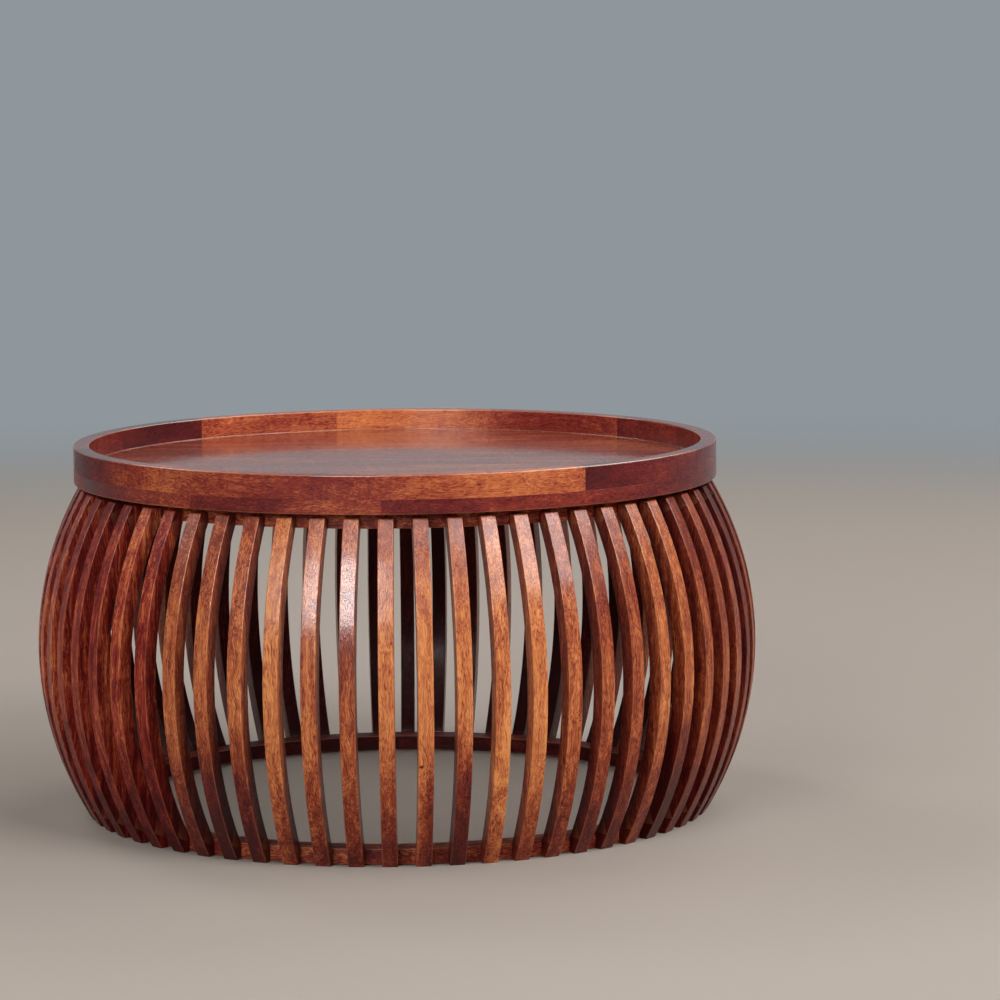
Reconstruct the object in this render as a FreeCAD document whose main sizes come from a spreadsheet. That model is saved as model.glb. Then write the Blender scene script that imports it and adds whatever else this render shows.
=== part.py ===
import FreeCAD, Part
import math
import os
import Sketcher

# Drum-shaped coffee table: curved slats stand round two hoops of curved blocks and carry a
# round tray, whose rim is built up from two courses of blocks with staggered butt joints.
# The drum stands on the floor at Z = 0 with its axis on Z. Lengths are in millimetres.

SIZES = {
    # drum frame: two hoops, one behind the slat feet and one under the tray
    "frame_height": 360,
    "hoop_radius": 330.5,
    "hoop_width": 27,
    "hoop_height": 16,
    "hoop_floor_gap": 1,
    "hoop_blocks": 8,
    # slats: square staves bent to one arc, glued to the hoops at upright seats
    "slat_pairs": 31,
    "slat_width": 16,
    "slat_depth": 16,
    "slat_bulge": 59.5,
    "slat_tray_gap": 4.5,
    "first_slat_angle": 1.1,
    # tray: a flat panel inside a rim of two courses, which reaches out over the slat tops
    "tray_overhang": 17.5,
    "rim_width": 17,
    "rim_lower_height": 15,
    "rim_upper_height": 25,
    "panel_thickness": 17,
    # how far the seat cuts run past the slat ends
    "cut_overrun": 3,
}

# Where the blocks of the rim meet, as shares of a full turn from +X.
UPPER_JOINT_SHARES = (0.022, 0.111, 0.197, 0.283, 0.367, 0.436, 0.528, 0.628, 0.731, 0.843, 0.933)
LOWER_JOINT_SHARES = (0.014, 0.104, 0.190, 0.279, 0.368, 0.459, 0.551, 0.647, 0.743, 0.836, 0.926)

FULL_TURN = 360
HALF_TURN = FULL_TURN / 2

# Sizes that follow from the driving ones, as formulas for the model's own expressions.
TRAY_UNDERSIDE = "Sizes.frame_height"
PANEL_TOP = "Sizes.frame_height + Sizes.panel_thickness"
RIM_SEAM = "Sizes.frame_height + Sizes.rim_lower_height"
RIM_TOP = "Sizes.frame_height + Sizes.rim_lower_height + Sizes.rim_upper_height"
RIM_RADIUS = "Sizes.hoop_radius + Sizes.tray_overhang"
PANEL_RADIUS = "Sizes.hoop_radius + Sizes.tray_overhang - Sizes.rim_width"
HOOP_INNER_RADIUS = "Sizes.hoop_radius - Sizes.hoop_width"
LOWER_HOOP_TOP = "Sizes.hoop_floor_gap + Sizes.hoop_height"
UPPER_HOOP_UNDERSIDE = "Sizes.frame_height - Sizes.hoop_height"
SLAT_TOP = "Sizes.frame_height - Sizes.slat_tray_gap"

# The inner face of a slat is an arc through the inward edges of both hoops' outer faces.
ARC_HALF_CHORD = f"(({UPPER_HOOP_UNDERSIDE}) - ({LOWER_HOOP_TOP})) / 2"
ARC_MIDDLE_HEIGHT = f"(({UPPER_HOOP_UNDERSIDE}) + ({LOWER_HOOP_TOP})) / 2"
ARC_RISE = "(Sizes.slat_bulge - Sizes.slat_depth)"
INNER_ARC_RADIUS = f"(({ARC_HALF_CHORD})^2 + {ARC_RISE}^2) / (2 * {ARC_RISE})"
OUTER_ARC_RADIUS = f"{INNER_ARC_RADIUS} + Sizes.slat_depth"
ARC_CENTRE_RADIUS = f"Sizes.hoop_radius + Sizes.slat_bulge - ({OUTER_ARC_RADIUS})"

# Slats stand in opposite pairs, so half a turn holds one of each, and a hoop's blocks are equal.
SLAT_PITCH = f"{HALF_TURN} / Sizes.slat_pairs"
HOOP_PITCH = f"{FULL_TURN} / Sizes.hoop_blocks"


# A sketch numbers its own axes, and the points of an edge, in this way.
HORIZONTAL_AXIS, VERTICAL_AXIS = range(-1, -3, -1)
ORIGIN = HORIZONTAL_AXIS
START, END, CENTRE = range(1, 4)
ON_AXIS = "0"
Z_AXIS = FreeCAD.Vector(0, 0, 1)

doc = FreeCAD.newDocument("DrumTable")


def make_sheet():
    """Write every driving dimension into the sheet, one row with its alias each."""
    sheet = doc.addObject("Spreadsheet::Sheet", "Sizes")
    rows = dict(SIZES)
    for course, shares in (("upper", UPPER_JOINT_SHARES), ("lower", LOWER_JOINT_SHARES)):
        for number, share in enumerate(shares, start=1):
            rows[f"{course}_joint_share_{number:02d}"] = share
    for row, (alias, number) in enumerate(rows.items(), start=1):
        sheet.set(f"A{row}", alias.replace("_", " "))
        sheet.set(f"B{row}", str(number))
        sheet.setAlias(f"B{row}", alias)
    doc.recompute()
    return sheet


def value(formula):
    """Return the number that a formula has with the sheet's present sizes."""
    return float(sheet.evalExpression(formula))


def origin_feature(body, role):
    """Return the plane or axis of the body's own origin with the given role."""
    return next(item for item in body.Origin.OriginFeatures if item.Role == role)


def new_body(name, turn):
    """Add a body, turned about the drum's axis by a formula in degrees."""
    body = doc.addObject("PartDesign::Body", name)
    body.Label = name
    body.Placement = FreeCAD.Placement(FreeCAD.Vector(), FreeCAD.Rotation(Z_AXIS, value(turn)))
    body.setExpression("Placement.Rotation.Angle", turn)
    return body


def new_sketch(body, name):
    """Add an empty sketch on the upright XZ plane of the body's origin."""
    sketch = body.newObject("Sketcher::SketchObject", f"{body.Name}_{name}")
    sketch.AttachmentSupport = [(origin_feature(body, "XZ_Plane"), "")]
    sketch.MapMode = "FlatFace"
    return sketch


def bind(sketch, name, kind, geometry, formula):
    """Add a dimension to a sketch, name it and tie it to a formula."""
    index = sketch.addConstraint(Sketcher.Constraint(kind, *geometry, value(formula)))
    sketch.renameConstraint(index, name)
    sketch.setExpression(f"Constraints.{name}", formula)


def draw_rectangle(sketch, name, section):
    """Draw a level rectangle and tie its four sides to formulas for radius and height."""
    inner, outer, underside, top = section
    corners = [
        FreeCAD.Vector(value(across), value(up), 0)
        for across, up in ((inner, underside), (outer, underside), (outer, top), (inner, top))
    ]
    lines = []
    for start, end in zip(corners, corners[1:] + corners[:1]):
        lines.append(sketch.addGeometry(Part.LineSegment(start, end)))
    for line, following in zip(lines, lines[1:] + lines[:1]):
        sketch.addConstraint(Sketcher.Constraint("Coincident", line, END, following, START))
    bottom_line, outer_line, top_line, inner_line = lines
    for line in (bottom_line, top_line):
        sketch.addConstraint(Sketcher.Constraint("Horizontal", line))
    for line in (outer_line, inner_line):
        sketch.addConstraint(Sketcher.Constraint("Vertical", line))
    if inner == ON_AXIS:
        sketch.addConstraint(Sketcher.Constraint("PointOnObject", inner_line, START, VERTICAL_AXIS))
    else:
        bind(sketch, f"{name}_inner", "DistanceX", (ORIGIN, START, inner_line, START), inner)
    bind(sketch, f"{name}_outer", "DistanceX", (ORIGIN, START, outer_line, START), outer)
    bind(sketch, f"{name}_underside", "DistanceY", (ORIGIN, START, bottom_line, START), underside)
    bind(sketch, f"{name}_top", "DistanceY", (ORIGIN, START, top_line, START), top)


def turn_block(body, section, sweep):
    """Turn a rectangular section about the drum's axis, evenly to both sides of +X."""
    sketch = new_sketch(body, "section")
    draw_rectangle(sketch, "block", section)
    block = body.newObject("PartDesign::Revolution", f"{body.Name}_block")
    block.Profile = sketch
    block.ReferenceAxis = (sketch, ["V_Axis"])
    block.Midplane = True
    block.Angle = value(sweep)
    block.setExpression("Angle", sweep)


def make_panel():
    """Flat round board that fills the rim and lies on the upper hoop."""
    body = new_body("tray_panel", turn="0")
    turn_block(body, (ON_AXIS, PANEL_RADIUS, TRAY_UNDERSIDE, PANEL_TOP), str(FULL_TURN))
    return body


def make_rim_course(name, course, shares, underside, top):
    """One course of the rim: a separate curved block between every two joints."""
    bodies = []
    count = len(shares)
    for number in range(1, count + 1):
        start = f"Sizes.{course}_joint_share_{number:02d}"
        end = f"Sizes.{course}_joint_share_{number % count + 1:02d}"
        if number == count:
            end = f"({end} + 1)"
        body = new_body(f"{name}_{number:02d}", turn=f"({start} + {end}) / 2 * {FULL_TURN}")
        turn_block(body, (PANEL_RADIUS, RIM_RADIUS, underside, top), f"({end} - {start}) * {FULL_TURN}")
        bodies.append(body)
    return bodies


def make_hoop(name, underside, top):
    """A hoop of equal curved blocks, butted end to end and kept as separate solids."""
    blocks = []
    for number in range(1, int(value("Sizes.hoop_blocks")) + 1):
        body = new_body(f"{name}_block_{number}", turn=f"({number} - 1 / 2) * {HOOP_PITCH}")
        turn_block(body, (HOOP_INNER_RADIUS, "Sizes.hoop_radius", underside, top), HOOP_PITCH)
        blocks.append(body)
    hoop = doc.addObject("Part::Compound", name)
    hoop.Label = name
    hoop.Links = blocks
    return hoop


def draw_slat_side(sketch):
    """Side view of a slat: two arcs about one centre, cut level at the foot and the top."""
    centre = FreeCAD.Vector(value(ARC_CENTRE_RADIUS), value(ARC_MIDDLE_HEIGHT), 0)
    foot, top = 0, value(SLAT_TOP)
    arcs = []
    for formula in (OUTER_ARC_RADIUS, INNER_ARC_RADIUS):
        radius = value(formula)
        angles = [math.asin((level - centre.y) / radius) for level in (foot, top)]
        arcs.append(Part.ArcOfCircle(Part.Circle(centre, Z_AXIS, radius), *angles))
    outer, inner = (sketch.addGeometry(arc) for arc in arcs)
    foot_line = sketch.addGeometry(Part.LineSegment(arcs[1].StartPoint, arcs[0].StartPoint))
    top_line = sketch.addGeometry(Part.LineSegment(arcs[0].EndPoint, arcs[1].EndPoint))
    joints = (
        (foot_line, START, inner, START),
        (foot_line, END, outer, START),
        (top_line, START, outer, END),
        (top_line, END, inner, END),
        (inner, CENTRE, outer, CENTRE),
    )
    for joint in joints:
        sketch.addConstraint(Sketcher.Constraint("Coincident", *joint))
    for line in (foot_line, top_line):
        sketch.addConstraint(Sketcher.Constraint("Horizontal", line))
    sketch.addConstraint(Sketcher.Constraint("PointOnObject", foot_line, START, HORIZONTAL_AXIS))
    bind(sketch, "slat_top", "DistanceY", (ORIGIN, START, top_line, START), SLAT_TOP)
    bind(sketch, "centre_across", "DistanceX", (ORIGIN, START, outer, CENTRE), ARC_CENTRE_RADIUS)
    bind(sketch, "centre_up", "DistanceY", (ORIGIN, START, outer, CENTRE), ARC_MIDDLE_HEIGHT)
    bind(sketch, "outer_radius", "Radius", (outer,), OUTER_ARC_RADIUS)
    bind(sketch, "inner_radius", "Radius", (inner,), INNER_ARC_RADIUS)


def draw_seat_cuts(sketch):
    """Sections of both hoops, run on past the slat ends, which cut the upright seats."""
    below = "-Sizes.cut_overrun"
    above = "Sizes.frame_height + Sizes.cut_overrun"
    draw_rectangle(sketch, "foot", (HOOP_INNER_RADIUS, "Sizes.hoop_radius", below, LOWER_HOOP_TOP))
    draw_rectangle(sketch, "head", (HOOP_INNER_RADIUS, "Sizes.hoop_radius", UPPER_HOOP_UNDERSIDE, above))


def make_slat_pair(number):
    """A slat and its twin on the far side of the drum, each with a seat for either hoop."""
    turn = f"Sizes.first_slat_angle + {number - 1} * {SLAT_PITCH}"
    body = new_body(f"slat_pair_{number:02d}", turn=turn)
    side_view = new_sketch(body, "side")
    draw_slat_side(side_view)
    slat = body.newObject("PartDesign::Pad", f"{body.Name}_slat")
    slat.Profile = side_view
    slat.Midplane = True
    slat.Length = value("Sizes.slat_width")
    slat.setExpression("Length", "Sizes.slat_width")
    seats = new_sketch(body, "seats")
    draw_seat_cuts(seats)
    cut = body.newObject("PartDesign::Groove", f"{body.Name}_seat_cut")
    cut.Profile = seats
    cut.ReferenceAxis = (seats, ["V_Axis"])
    cut.Angle = FULL_TURN
    twin = body.newObject("PartDesign::PolarPattern", f"{body.Name}_twin")
    twin.TransformMode = "Whole shape"
    twin.Originals = [cut]
    twin.Axis = (origin_feature(body, "Z_Axis"), [""])
    twin.Mode = "Spacing"
    twin.Offset = HALF_TURN
    twin.Occurrences = 2
    body.Tip = twin
    return body


def check_model(bodies):
    """Stop before anything is written if an object failed or a shape is unsound."""
    for item in doc.Objects:
        if "Invalid" in item.State or "Error" in item.State:
            raise RuntimeError(f"{item.Label} did not build: {item.State}")
    for body in bodies:
        if body.Shape.isNull() or not body.Shape.isValid():
            raise RuntimeError(f"{body.Label} has no sound shape")


sheet = make_sheet()
sub_parts = [make_panel()]
sub_parts += make_rim_course("rim_lower", "lower", LOWER_JOINT_SHARES, TRAY_UNDERSIDE, RIM_SEAM)
sub_parts += make_rim_course("rim_upper", "upper", UPPER_JOINT_SHARES, RIM_SEAM, RIM_TOP)
sub_parts.append(make_hoop("upper_hoop", UPPER_HOOP_UNDERSIDE, TRAY_UNDERSIDE))
sub_parts.append(make_hoop("bottom_hoop", "Sizes.hoop_floor_gap", LOWER_HOOP_TOP))
sub_parts += [make_slat_pair(number) for number in range(1, int(value("Sizes.slat_pairs")) + 1)]
doc.recompute()
check_model(sub_parts)

os.makedirs("parts", exist_ok=True)
for sub_part in sub_parts:
    sub_part.Shape.exportStep(f"parts/{sub_part.Label}.step")
    print(sub_part.Label, len(sub_part.Shape.Solids), round(sub_part.Shape.Volume))
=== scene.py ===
"""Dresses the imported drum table: curved slats, two hoops, a tray panel and its blocked rim.

Every piece is of mango wood that was stained red-brown and lacquered. Lengths are in metres in
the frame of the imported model, with the drum's axis on Z and the floor at Z = 0.
"""

import logging
import math
import random
from collections.abc import Callable, Iterator
from contextlib import contextmanager
from dataclasses import dataclass, replace
from enum import Enum
from typing import Any, NamedTuple

import bmesh
import bpy
from mathutils import Matrix, Vector


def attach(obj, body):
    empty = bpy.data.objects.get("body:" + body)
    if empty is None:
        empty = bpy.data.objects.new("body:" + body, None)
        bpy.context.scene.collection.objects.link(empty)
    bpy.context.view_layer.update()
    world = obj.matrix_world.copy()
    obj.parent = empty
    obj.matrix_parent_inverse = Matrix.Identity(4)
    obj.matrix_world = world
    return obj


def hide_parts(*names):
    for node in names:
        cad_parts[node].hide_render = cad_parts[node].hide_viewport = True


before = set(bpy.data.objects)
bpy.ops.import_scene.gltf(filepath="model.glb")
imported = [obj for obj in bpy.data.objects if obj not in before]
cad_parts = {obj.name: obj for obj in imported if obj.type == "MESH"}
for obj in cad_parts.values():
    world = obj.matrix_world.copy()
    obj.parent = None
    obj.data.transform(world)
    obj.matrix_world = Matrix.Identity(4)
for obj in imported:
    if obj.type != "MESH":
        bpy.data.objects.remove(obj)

log = logging.getLogger("drum_table")

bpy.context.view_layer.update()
MM = 0.001
BODY = "root"
# Points of a mesh that are nearer to a level or a radius than this are on it.
TOUCH = 0.01 * MM
# Where a board without a knot has it: far past the board's end, in millimetres.
NO_KNOT = Vector((0, 0, -5000))

Piece = bpy.types.Object
Material = bpy.types.Material
Tree = bpy.types.NodeTree
Socket = bpy.types.NodeSocket
Stops = tuple[tuple[float, float], ...]
Place = tuple[float, float, float]
Rounding = Callable[[float, float], float]


class Slot(Enum):
    """The material slots."""

    SLAT = "slat_wood"
    RIM = "rim_wood"
    PANEL = "panel_wood"
    HOOP = "hoop_wood"


class Tone(Enum):
    """How light a board took the stain, from 0 for the darkest to 1 for the palest."""

    MAROON = 0.10
    DARK_RED = 0.25
    RED_BROWN = 0.40
    BROWN = 0.52
    ORANGE_BROWN = 0.66
    ORANGE = 0.80
    PALE_ORANGE = 0.94


MAROON, DARK_RED, RED_BROWN, BROWN, ORANGE_BROWN, ORANGE, PALE_ORANGE = Tone


# ---- colours and nodes


def to_linear(hex_colour: str) -> tuple[float, float, float, float]:
    """Turn an sRGB colour to the linear values that nodes take.

    Args:
        hex_colour: six hex digits after a #.

    Returns:
        Linear red, green and blue, with an alpha of 1.
    """
    channels = (int(hex_colour[start : start + 2], 16) / 255 for start in (1, 3, 5))
    red, green, blue = (
        c / 12.92 if c <= 0.04045 else ((c + 0.055) / 1.055) ** 2.4 for c in channels
    )
    return red, green, blue, 1.0


def start_nodes(owners: bpy.types.bpy_prop_collection, name: str) -> tuple[Any, Tree]:
    """Start a material or a world that has no nodes yet.

    Args:
        owners: the file's materials or worlds.
        name: its name.

    Returns:
        The material or world, and its empty node tree.
    """
    made = owners.new(name)
    made.use_nodes = True
    made.node_tree.nodes.clear()
    return made, made.node_tree


def add_node(
    tree: Tree, kind: str, inputs: dict[str | int, Any] | None = None, **settings: Any
) -> bpy.types.Node:
    """Add a node, set it up and link what feeds it.

    Args:
        tree: the material's or world's node tree.
        kind: the node's type, without the ShaderNode that each begins with.
        inputs: by input, a fixed value or the output that feeds it.
        settings: the node's own settings by name.

    Returns:
        The new node.
    """
    node = tree.nodes.new("ShaderNode" + kind)
    for name, setting in settings.items():
        setattr(node, name, setting)
    for name, source in (inputs or {}).items():
        if isinstance(source, Socket):
            tree.links.new(source, node.inputs[name])
        else:
            node.inputs[name].default_value = source
    return node


def calculate(tree: Tree, operation: str, *values: Any, kind: str = "Math") -> Socket:
    """Add a node that calculates.

    Args:
        tree: the material's or world's node tree.
        operation: what it does.
        values: fixed values or the outputs that feed it.
        kind: Math, or VectorMath for vectors.

    Returns:
        Its result.
    """
    return add_node(tree, kind, dict(enumerate(values)), operation=operation).outputs[0]


class Grain(NamedTuple):
    """A pattern in the wood: its grains' width and length in millimetres, and its weight."""

    width: float
    length: float
    weight: float


@dataclass(frozen=True)
class StainedMango:
    """Mango wood, sawn and sanded, stained red-brown and sprayed with a clear lacquer.

    The stain gives the eye a warm red-brown that is uneven from board to board and blotchy
    along each. Open pores took more of it: short dark dashes where the face runs with the
    grain, and dots where it cuts across. The lacquer lays a soft shine over all of it.
    """

    name: str
    roughness: float
    coat: float
    coat_roughness: float
    # Real pores and fibres are 0.2 mm wide. They are drawn four to seven times as wide to show.
    pore: Grain = Grain(1.2, 7.0, 0.22)
    fibre: Grain = Grain(1.3, 4.5, 0.18)
    # Stain streaks, growth bands, blotches, and the ripple across the grain that light shows.
    line: Grain = Grain(1.8, 120.0, 0.13)
    band: Grain = Grain(6.0, 240.0, 0.20)
    cloud: Grain = Grain(15.0, 75.0, 0.20)
    ripple: Grain = Grain(26.0, 5.0, 0.24)
    # Pores come in patches, and are fewer between them.
    patch: Grain = Grain(13.0, 55.0, 1.0)
    drift_mm: float = 8.0
    drift_length_mm: float = 48.0
    relief: float = 0.5
    relief_depth: float = 0.16 * MM
    # How much the arrises take the pale colour below: partly wearing, partly painted highlight.
    wear_and_glint: float = 0.7
    darkest: str = "#420E0F"
    dark: str = "#631C15"
    middle: str = "#8B3B21"
    light: str = "#BF6B3D"
    palest: str = "#E09153"
    # The arrises' pale colour: partly wearing, partly painted highlight.
    worn_and_glint: str = "#D0895C"

    def vary(self, tree: Tree, level: Socket | float, *parts: tuple[Socket, float]) -> Socket:
        """Vary a level by patterns that are each centred on 0 and scaled.

        Args:
            tree: the material's node tree.
            level: what the patterns are added to.
            parts: each pattern, about 0 to 1, with its weight.

        Returns:
            The varied level.
        """
        centre = -sum(weight for _, weight in parts) / 2
        total = calculate(tree, "ADD", level, centre)
        for pattern, weight in parts:
            total = calculate(tree, "MULTIPLY_ADD", pattern, weight, total)
        return total

    def wander(self, tree: Tree, place: Socket) -> Socket:
        """Bend the grain sideways by a few millimetres over a hand's length.

        Args:
            tree: the material's node tree.
            place: the place in the board.

        Returns:
            The place, moved sideways.
        """
        inputs = {"Vector": place, "Scale": 1 / self.drift_length_mm, "Detail": 2.0}
        drift = add_node(tree, "TexNoise", inputs).outputs["Color"]
        reach = self.drift_mm
        spread, back = (2 * reach, 2 * reach, 0.0), (-reach, -reach, 0.0)
        sideways = calculate(tree, "MULTIPLY_ADD", drift, spread, back, kind="VectorMath")
        return calculate(tree, "ADD", place, sideways, kind="VectorMath")

    def patterns(self, tree: Tree, place: Socket) -> dict[str, Socket]:
        """Draw what shows in the wood.

        Args:
            tree: the material's node tree.
            place: the place in the board in millimetres, with the grain on Z.

        Returns:
            Each pattern by name, about 0 to 1.
        """
        noises = {}
        for name in ("cloud", "band", "line", "ripple", "fibre", "pore", "patch"):
            width, length, _ = getattr(self, name)
            scale = (1 / width, 1 / width, 1 / length)
            squeezed = calculate(tree, "MULTIPLY", place, scale, kind="VectorMath")
            detail = 1.0 if name in ("fibre", "pore", "patch") else 2.0
            inputs = {"Vector": squeezed, "Scale": 1.0, "Detail": detail}
            noise = add_node(tree, "TexNoise", {**inputs, "Roughness": 0.55})
            noises[name] = noise.outputs["Fac"]
        drawn = {"ripple": noises["ripple"]}
        for name, source, low, high in (
            ("cloud", "cloud", 0.34, 0.66),
            ("rubbed_and_glint", "cloud", 0.20, 0.55),
            ("band", "band", 0.32, 0.68),
            ("line", "line", 0.32, 0.68),
            ("fibre", "fibre", 0.34, 0.66),
            ("pore", "pore", 0.53, 0.63),
            ("patch", "patch", 0.30, 0.50),
        ):
            inputs = {"Value": noises[source], "From Min": low, "From Max": high}
            step = add_node(tree, "MapRange", inputs, interpolation_type="SMOOTHSTEP")
            drawn[name] = step.outputs["Result"]
        return drawn

    def knot(self, tree: Tree, colour: Socket) -> Socket:
        """Lay a small dark knot with ragged edges where a board has one.

        Args:
            tree: the material's node tree.
            colour: the wood's colour.

        Returns:
            The colour with the knot in it.
        """
        place = add_node(tree, "Attribute", attribute_name="from_knot_mm").outputs["Vector"]
        # It is 2 to 5 mm across and a little wider than high, and its edge wanders by 2 mm.
        ragged = add_node(tree, "TexNoise", {"Vector": place, "Scale": 0.5, "Detail": 3.0})
        flattened = calculate(tree, "MULTIPLY", place, (0.8, 1.0, 1.3), kind="VectorMath")
        far = add_node(tree, "VectorMath", {0: flattened}, operation="LENGTH").outputs["Value"]
        reach = self.vary(tree, far, (ragged.outputs["Fac"], 4.0))
        inputs = {"Value": reach, "From Min": 1.0, "From Max": 2.8}
        past = add_node(tree, "MapRange", inputs, interpolation_type="SMOOTHSTEP")
        inputs = {0: past.outputs["Result"], 6: to_linear(self.darkest), 7: colour}
        return add_node(tree, "Mix", inputs, data_type="RGBA").outputs[2]

    def stain(self, tree: Tree, level: Socket) -> Socket:
        """Turn a level to the stain's colour.

        Args:
            tree: the material's node tree.
            level: from 0 for the darkest to 1 for the palest.

        Returns:
            The colour.
        """
        ramp = add_node(tree, "ValToRGB", {"Fac": level})
        stops = ramp.color_ramp.elements
        stops[0].color, stops[-1].color = to_linear(self.darkest), to_linear(self.palest)
        for position, shade in ((0.25, self.dark), (0.5, self.middle), (0.75, self.light)):
            stops.new(position).color = to_linear(shade)
        return ramp.outputs["Color"]

    def material(self) -> Material:
        """Build the finish.

        Returns:
            A material that reads the board's own attributes: grain_mm for the place in it,
            tone for how light it took the stain, less any painted shade, figure for how lively
            its grain is, worn for its arrises, whose pale colour is partly wearing and partly
            painted highlight, lacquer for how much of the spray it got, and from_knot_mm.
        """
        made, tree = start_nodes(bpy.data.materials, self.name)
        tone, figure, worn_and_glint, lacquer = (
            add_node(tree, "Attribute", attribute_name=name).outputs["Fac"]
            for name in ("tone", "figure", "worn_and_glint", "lacquer")
        )
        grain = add_node(tree, "Attribute", attribute_name="grain_mm").outputs["Vector"]
        drawn = self.patterns(tree, self.wander(tree, grain))
        cloud, fibre = drawn["cloud"], drawn["fibre"]
        pores = calculate(tree, "MULTIPLY", drawn["pore"], drawn["patch"])

        names = ("cloud", "band", "line", "ripple")
        weights = ((drawn[name], getattr(self, name).weight) for name in names)
        board = calculate(tree, "MULTIPLY_ADD", self.vary(tree, 0.0, *weights), figure, tone)
        fibred = self.vary(tree, board, (fibre, self.fibre.weight))
        level = calculate(tree, "MULTIPLY_ADD", pores, -self.pore.weight, fibred)
        # Patches of the arrises are painted paler: partly wearing, partly painted highlight.
        bare_and_glint = calculate(tree, "MULTIPLY", worn_and_glint, self.wear_and_glint)
        rubbed_and_glint = calculate(tree, "MULTIPLY", bare_and_glint, drawn["rubbed_and_glint"])
        inputs = {0: rubbed_and_glint, 6: self.stain(tree, level), 7: to_linear(self.worn_and_glint)}
        edged = add_node(tree, "Mix", inputs, data_type="RGBA").outputs[2]

        shine = self.vary(tree, self.roughness, (fibre, 0.08), (cloud, 0.06), (pores, 0.16))
        raised = self.vary(tree, 0.0, (pores, -1.0), (fibre, 0.4), (cloud, 0.4))
        sprayed = calculate(tree, "MULTIPLY", lacquer, self.coat)
        inputs = {"Height": raised, "Distance": self.relief_depth}
        wood_bump, lacquer_bump = (
            add_node(tree, "Bump", {**inputs, "Strength": strength}).outputs["Normal"]
            for strength in (self.relief, self.relief / 2)
        )
        inputs = {
            "Base Color": self.knot(tree, edged),
            "Roughness": shine,
            "IOR": 1.5,
            "Specular IOR Level": 0.1,
            "Normal": wood_bump,
            "Coat Weight": sprayed,
            "Coat Roughness": self.coat_roughness,
            "Coat IOR": 1.5,
            "Coat Normal": lacquer_bump,
        }
        shader = add_node(tree, "BsdfPrincipled", inputs)
        add_node(tree, "OutputMaterial", {"Surface": shader.outputs["BSDF"]})
        return made


@dataclass(frozen=True)
class ZincSteel:
    """Steel wood screws, turned and zinc plated, which gives a dull, faintly mottled grey."""

    name: str = "zinc_plated_steel"
    bright: str = "#A9ABA8"
    dull: str = "#7F827F"
    mottle_mm: float = 0.6

    def material(self) -> Material:
        """Build the finish.

        Returns:
            A material on Object coordinates.
        """
        made, tree = start_nodes(bpy.data.materials, self.name)
        place = add_node(tree, "TexCoord").outputs["Object"]
        inputs = {"Vector": place, "Scale": 1 / (self.mottle_mm * MM), "Detail": 2.0}
        mottle = add_node(tree, "TexNoise", inputs).outputs["Fac"]
        inputs = {0: mottle, 6: to_linear(self.dull), 7: to_linear(self.bright)}
        colour = add_node(tree, "Mix", inputs, data_type="RGBA").outputs[2]
        rough = add_node(tree, "MapRange", {"Value": mottle, "To Min": 0.3, "To Max": 0.5})
        inputs = {"Metallic": 1.0, "Base Color": colour, "Roughness": rough.outputs["Result"]}
        shader = add_node(tree, "BsdfPrincipled", inputs)
        add_node(tree, "OutputMaterial", {"Surface": shader.outputs["BSDF"]})
        return made


# ---- the maker's bench


def alone(piece: Piece) -> None:
    """Select one piece alone and make it active.

    Args:
        piece: the piece to work on.
    """
    bpy.ops.object.select_all(action="DESELECT")
    piece.select_set(True)
    bpy.context.view_layer.objects.active = piece


@contextmanager
def edit_mode(piece: Piece) -> Iterator[None]:
    """Open one piece alone in edit mode, with nothing of it selected.

    Args:
        piece: the piece to work on.
    """
    alone(piece)
    bpy.ops.object.mode_set(mode="EDIT")
    bpy.ops.mesh.select_mode(type="VERT")
    bpy.ops.mesh.select_all(action="DESELECT")
    yield
    bpy.ops.object.mode_set(mode="OBJECT")


def pick(piece: Piece, wanted: Callable[[Vector], bool], kind: str = "VERT") -> None:
    """Select what has all its points where wanted says.

    Args:
        piece: a piece that is open in edit mode.
        wanted: whether a point's place is right.
        kind: VERT or EDGE, what is to be selected.
    """
    bpy.ops.mesh.select_mode(type=kind)
    bpy.ops.mesh.select_all(action="DESELECT")
    mesh = bmesh.from_edit_mesh(piece.data)
    for item in mesh.verts if kind == "VERT" else mesh.edges:
        points = [item] if kind == "VERT" else item.verts
        if all(wanted(point.co) for point in points):
            item.select_set(True)
    bmesh.update_edit_mesh(piece.data)


def close_spin() -> None:
    """Join the doubled points of a spun piece in edit mode and turn its faces outward."""
    bpy.ops.mesh.select_all(action="SELECT")
    bpy.ops.mesh.remove_doubles(threshold=TOUCH / 10)
    bpy.ops.mesh.normals_make_consistent(inside=False)


def soften(sharpness: float, width: float, segments: int) -> None:
    """Bevel the sharp edges of the piece that is open in edit mode.

    Args:
        sharpness: the degrees from which an edge counts as sharp.
        width: the bevel's width.
        segments: how many faces it has across.
    """
    bpy.ops.mesh.select_mode(type="EDGE")
    bpy.ops.mesh.select_all(action="DESELECT")
    bpy.ops.mesh.edges_select_sharp(sharpness=math.radians(sharpness))
    bpy.ops.mesh.bevel(offset=width, segments=segments, affect="EDGES")


def smooth(piece: Piece, sharpness: float = 38.0, flatness: int = 80) -> None:
    """Shade a piece smooth over its soft edges and keep its large faces flat.

    Args:
        piece: the finished mesh.
        sharpness: the degrees from which an edge stays sharp.
        flatness: how much more its large faces count than its small ones, up to 100.
    """
    alone(piece)
    bpy.ops.object.shade_smooth_by_angle(angle=math.radians(sharpness))
    weighted = piece.modifiers.new("flat_faces", "WEIGHTED_NORMAL")
    weighted.keep_sharp = True
    weighted.weight = flatness
    bpy.ops.object.modifier_apply(modifier=weighted.name)


def settled(name: str) -> Piece:
    """Name the object that was just added and move its place into its mesh.

    Args:
        name: the piece's name.

    Returns:
        The piece.
    """
    piece = bpy.context.object
    alone(piece)
    piece.name = piece.data.name = name
    bpy.ops.object.transform_apply(location=True, rotation=True, scale=True)
    return piece


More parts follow.
